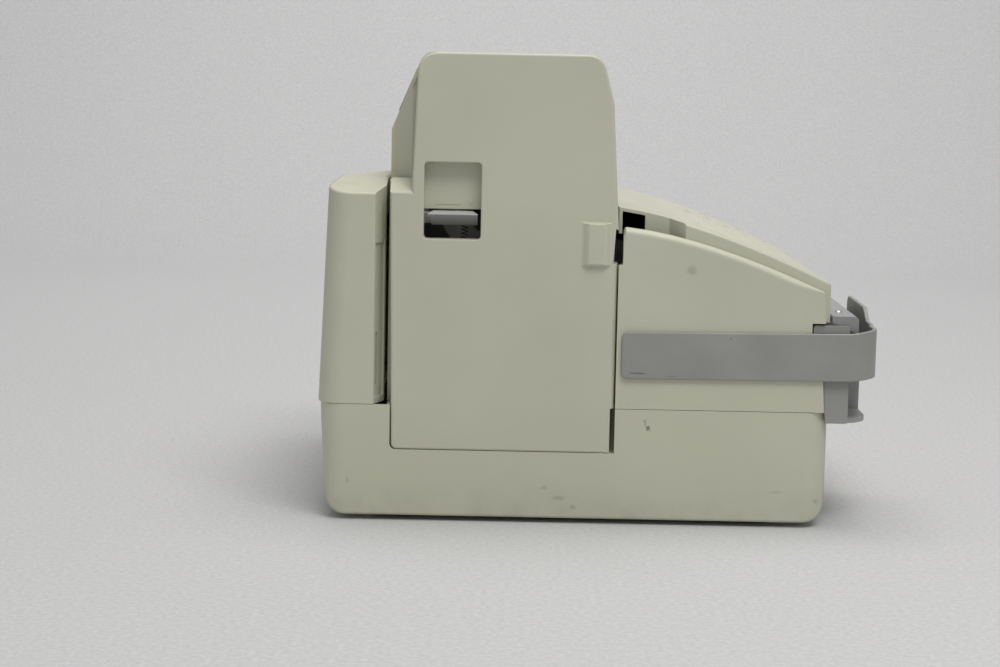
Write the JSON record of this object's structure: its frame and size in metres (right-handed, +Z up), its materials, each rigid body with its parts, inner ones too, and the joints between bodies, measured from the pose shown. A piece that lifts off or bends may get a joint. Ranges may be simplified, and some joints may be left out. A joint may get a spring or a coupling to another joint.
{
  "type": "label printing scale",
  "caption": "Counter scale with a label printer: side-opening roll compartment with a latch, drive and thermal head, lift-off steel platter on a load cell, sloped keypad and two displays",
  "frame": {"origin": "on the table, under the middle of the whole machine", "axes": "+X towards the operator's side, +Y away from the label door, +Z up"},
  "size_m": [0.462, 0.389, 0.386],
  "materials": {
    "housing_plastic": "fine moulded grain, satin, slightly aged putty",
    "guard_plastic": "mid grey moulded, satin",
    "latch_plastic": "dark grey moulded",
    "foot_plastic": "beige moulded, soft",
    "dark_plastic": "charcoal moulded",
    "gear_plastic": "natural acetal",
    "lever_plastic": "blue-grey moulded",
    "hood_paint": "grey baked enamel",
    "bright_steel": "zinc plated",
    "platter_steel": "brushed stainless",
    "plate_steel": "galvanised sheet",
    "cast_aluminium": "machined",
    "motor_metal": "dark lacquered",
    "brass": "machined",
    "rubber": "ground nitrile",
    "label_paper": "coated thermal paper",
    "core_board": "spiral wound",
    "liner_paper": "siliconised glassine",
    "circuit_board": "green solder mask",
    "keypad_sheet": "printed polyester",
    "display_window": "tinted acrylic",
    "display_module": "grey-green liquid crystal",
    "vial_fluid": "clear acrylic with yellow-green fluid",
    "ceramic_head": "glazed alumina"
  },
  "bodies": {
    "frame": {"base_tray": "housing_plastic", "tower_body": "housing_plastic", "column_cover": "housing_plastic", "front_panel": "housing_plastic", "console_cover": "housing_plastic", "deck_cover": "housing_plastic", "hinge_bracket": "plate_steel", "hinge_pins": "bright_steel", "latch_keeper": "plate_steel", "label_guard": "guard_plastic", "outlet_frame": "guard_plastic", "outlet_hood": "hood_paint", "hood_rivets": "bright_steel", "keypad_overlay": "keypad_sheet", "keypad_board": "circuit_board", "operator_window": "display_window", "operator_display": "display_module", "customer_window": "display_window", "customer_display": "display_module", "level_cup": "dark_plastic", "level_vial": "vial_fluid", "mechanism_plate": "plate_steel", "plate_struts": "bright_steel", "roll_spindle": "bright_steel", "rewind_motor": "motor_metal", "guide_pins": "bright_steel", "label_sensor": "dark_plastic", "drive_motor": "motor_metal", "head_pivot_pin": "bright_steel", "main_board": "circuit_board", "power_supply": "plate_steel", "load_cell": "cast_aluminium", "cell_blocks": "plate_steel", "platter_spider": "cast_aluminium", "platter_pads": "rubber", "rear_sockets": "dark_plastic"},
    "foot_1": {"levelling_foot_1": "foot_plastic"},
    "foot_2": {"levelling_foot_2": "foot_plastic"},
    "foot_3": {"levelling_foot_3": "foot_plastic"},
    "foot_4": {"levelling_foot_4": "foot_plastic"},
    "door": {"door_shell": "housing_plastic", "latch_spring": "bright_steel"},
    "latch": {"latch_handle": "latch_plastic"},
    "roll": {"roll_hub": "dark_plastic", "label_core": "core_board", "label_roll": "label_paper"},
    "takeup": {"takeup_spool": "dark_plastic", "wound_liner": "liner_paper"},
    "guide_rear": {"guide_roller_rear": "dark_plastic"},
    "guide_front": {"guide_roller_front": "dark_plastic"},
    "platen": {"platen_shaft": "bright_steel", "platen_rubber": "rubber", "platen_gear": "gear_plastic"},
    "idler": {"idler_gear": "gear_plastic"},
    "pinion": {"motor_pinion": "brass"},
    "print_arm": {"head_bracket": "plate_steel", "print_head": "ceramic_head"},
    "head_release": {"head_lever": "lever_plastic"},
    "weighing_platter": {"platter": "platter_steel"},
    "rocker": {"power_switch": "dark_plastic"}
  },
  "joints": [
    {"name": "door_swing", "type": "hinge", "parent": "frame", "child": "door", "pos_m": [0, -0.183, 0.2], "axis": [0, 0, 1], "range_deg": [0, 105]},
    {"name": "latch_pull", "type": "slide", "parent": "door", "child": "latch", "axis": [0, 0, -1], "range_m": [0, 0.008], "stiffness_N_per_m": 200, "springref_m": -0.004, "deforming": ["latch_spring"]},
    {"name": "label_roll_turn", "type": "hinge", "parent": "frame", "child": "roll", "pos_m": [-0.08, -0.11, 0.266], "axis": [0, 1, 0], "continuous": true},
    {"name": "takeup_turn", "type": "hinge", "parent": "frame", "child": "takeup", "pos_m": [-0.096, -0.11, 0.142], "axis": [0, 1, 0], "continuous": true},
    {"name": "guide_rear_turn", "type": "hinge", "parent": "frame", "child": "guide_rear", "pos_m": [-0.014, -0.11, 0.152], "axis": [0, 1, 0], "continuous": true},
    {"name": "guide_front_turn", "type": "hinge", "parent": "frame", "child": "guide_front", "pos_m": [0.066, -0.11, 0.118], "axis": [0, 1, 0], "continuous": true},
    {"name": "platen_turn", "type": "hinge", "parent": "frame", "child": "platen", "pos_m": [0.194, -0.11, 0.136], "axis": [0, 1, 0], "continuous": true},
    {"name": "idler_turn", "type": "hinge", "parent": "frame", "child": "idler", "pos_m": [0.1599, -0.11, 0.12813], "axis": [0, 1, 0], "continuous": true},
    {"name": "pinion_turn", "type": "hinge", "parent": "frame", "child": "pinion", "pos_m": [0.1309, -0.11, 0.12813], "axis": [0, 1, 0], "continuous": true},
    {"name": "head_lift", "type": "hinge", "parent": "frame", "child": "print_arm", "pos_m": [0.138, -0.11, 0.168], "axis": [0, -1, 0], "range_deg": [0, 8]},
    {"name": "head_lever_turn", "type": "hinge", "parent": "frame", "child": "head_release", "pos_m": [0.102, -0.11, 0.182], "axis": [0, 1, 0], "range_deg": [0, 15]},
    {"name": "platter_lift", "type": "slide", "parent": "frame", "child": "weighing_platter", "axis": [0, 0, 1], "range_m": [0, 0.06]},
    {"name": "rocker_tilt", "type": "hinge", "parent": "frame", "child": "rocker", "pos_m": [-0.223, -0.084, 0.129], "axis": [0, -1, 0], "range_deg": [0, 14]},
    {"name": "foot_1_extend", "type": "slide", "parent": "frame", "child": "foot_1", "axis": [0, 0, -1], "range_m": [0, 0.006]},
    {"name": "foot_2_extend", "type": "slide", "parent": "frame", "child": "foot_2", "axis": [0, 0, -1], "range_m": [0, 0.006]},
    {"name": "foot_3_extend", "type": "slide", "parent": "frame", "child": "foot_3", "axis": [0, 0, -1], "range_m": [0, 0.006]},
    {"name": "foot_4_extend", "type": "slide", "parent": "frame", "child": "foot_4", "axis": [0, 0, -1], "range_m": [0, 0.006]}
  ],
  "couplings": [
    {"joint": "idler_turn", "follows": "platen_turn", "ratio": -0.66667},
    {"joint": "pinion_turn", "follows": "platen_turn", "ratio": 1.75},
    {"joint": "head_lever_turn", "follows": "head_lift", "ratio": 1.875}
  ]
}
